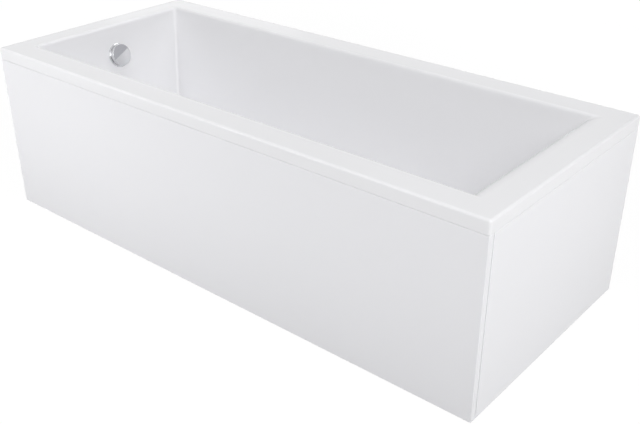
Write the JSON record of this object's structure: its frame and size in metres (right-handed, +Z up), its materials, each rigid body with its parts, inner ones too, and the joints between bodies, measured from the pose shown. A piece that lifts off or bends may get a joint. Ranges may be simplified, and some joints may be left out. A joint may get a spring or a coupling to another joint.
{
  "type": "alcove bathtub",
  "caption": "Straight white built-in bath with a front panel, an end panel, sloping basin, overflow knob that lifts the plug, waste with trap, and adjustable feet.",
  "frame": {"origin": "on the floor under the middle of the bath", "axes": "+X along the bath towards the head end, +Y towards the back wall, +Z up"},
  "size_m": [1.65, 0.7, 0.5],
  "materials": {
    "acrylic": "smooth high gloss",
    "lacquered_board": "white gloss lacquer",
    "chipboard": "raw",
    "timber": "sawn",
    "zinc_steel": "zinc plated",
    "screw_steel": "bright zinc",
    "chrome": "polished",
    "seal_rubber": "soft matte",
    "grey_plastic": "moulded",
    "white_plastic": "moulded",
    "black_plastic": "moulded",
    "nylon": "moulded",
    "hose_plastic": "ribbed",
    "cable_plastic": "smooth"
  },
  "bodies": {
    "bath": {"bath_shell": "acrylic", "base_board": "chipboard", "rim_batten_front": "timber", "rim_batten_back": "timber", "rim_batten_foot": "timber", "rim_batten_head": "timber", "floor_batten_front": "timber", "floor_batten_head": "timber", "front_panel": "lacquered_board", "end_panel": "lacquered_board", "panel_angles": "zinc_steel", "panel_angle_screws": "screw_steel", "wall_brackets": "zinc_steel", "wall_bracket_screws": "screw_steel", "leg_channel_foot": "zinc_steel", "leg_channel_head": "zinc_steel", "channel_screws": "screw_steel", "weld_nuts": "screw_steel", "lock_nuts": "screw_steel", "flange_seal": "seal_rubber", "waste_gasket": "seal_rubber", "waste_flange": "chrome", "waste_tee": "grey_plastic", "trap_washer": "seal_rubber", "trap_nut": "white_plastic", "trap_body": "white_plastic", "outlet_pipe": "white_plastic", "outlet_nut": "white_plastic", "overflow_gasket": "seal_rubber", "overflow_body": "grey_plastic", "overflow_rosette": "chrome", "overflow_hose": "hose_plastic", "hose_nut_upper": "grey_plastic", "hose_nut_lower": "grey_plastic", "control_cable": "cable_plastic"},
    "knob": {"overflow_knob": "chrome", "knob_grub_screw": "screw_steel", "knob_spindle": "screw_steel", "knob_pinion": "nylon"},
    "slide": {"cable_slide": "nylon"},
    "plug": {"waste_plug": "chrome", "plug_seal": "seal_rubber", "plug_stem": "screw_steel"},
    "lever": {"lift_lever": "screw_steel"},
    "front_foot_foot": {"foot_rod_front_foot": "screw_steel", "foot_pad_front_foot": "black_plastic"},
    "back_foot_foot": {"foot_rod_back_foot": "screw_steel", "foot_pad_back_foot": "black_plastic"},
    "front_head_foot": {"foot_rod_front_head": "screw_steel", "foot_pad_front_head": "black_plastic"},
    "back_head_foot": {"foot_rod_back_head": "screw_steel", "foot_pad_back_head": "black_plastic"}
  },
  "joints": [
    {"name": "knob_turn", "type": "hinge", "parent": "bath", "child": "knob", "pos_m": [-0.72758, 0, 0.409], "axis": [0.9588, 0, 0.284], "range_deg": [0, 90]},
    {"name": "slide_pull", "type": "slide", "parent": "bath", "child": "slide", "axis": [-0.284, 0, 0.9588], "range_m": [0, 0.0071]},
    {"name": "lever_tilt", "type": "hinge", "parent": "bath", "child": "lever", "pos_m": [-0.573, 0, 0.109], "axis": [0, -1, 0], "range_deg": [0, 29.1]},
    {"name": "plug_lift", "type": "slide", "parent": "bath", "child": "plug", "axis": [0, 0, 1], "range_m": [0, 0.00901]},
    {"name": "front_foot_level", "type": "slide", "parent": "bath", "child": "front_foot_foot", "axis": [0, 0, -1], "range_m": [0, 0.03]},
    {"name": "back_foot_level", "type": "slide", "parent": "bath", "child": "back_foot_foot", "axis": [0, 0, -1], "range_m": [0, 0.03]},
    {"name": "front_head_level", "type": "slide", "parent": "bath", "child": "front_head_foot", "axis": [0, 0, -1], "range_m": [0, 0.03]},
    {"name": "back_head_level", "type": "slide", "parent": "bath", "child": "back_head_foot", "axis": [0, 0, -1], "range_m": [0, 0.03]}
  ],
  "couplings": [
    {"joint": "slide_pull", "follows": "knob_turn", "m_per_rad": 0.0045},
    {"joint": "lever_tilt", "follows": "knob_turn", "ratio": 0.32222},
    {"joint": "plug_lift", "follows": "knob_turn", "m_per_rad": 0.0057296}
  ]
}
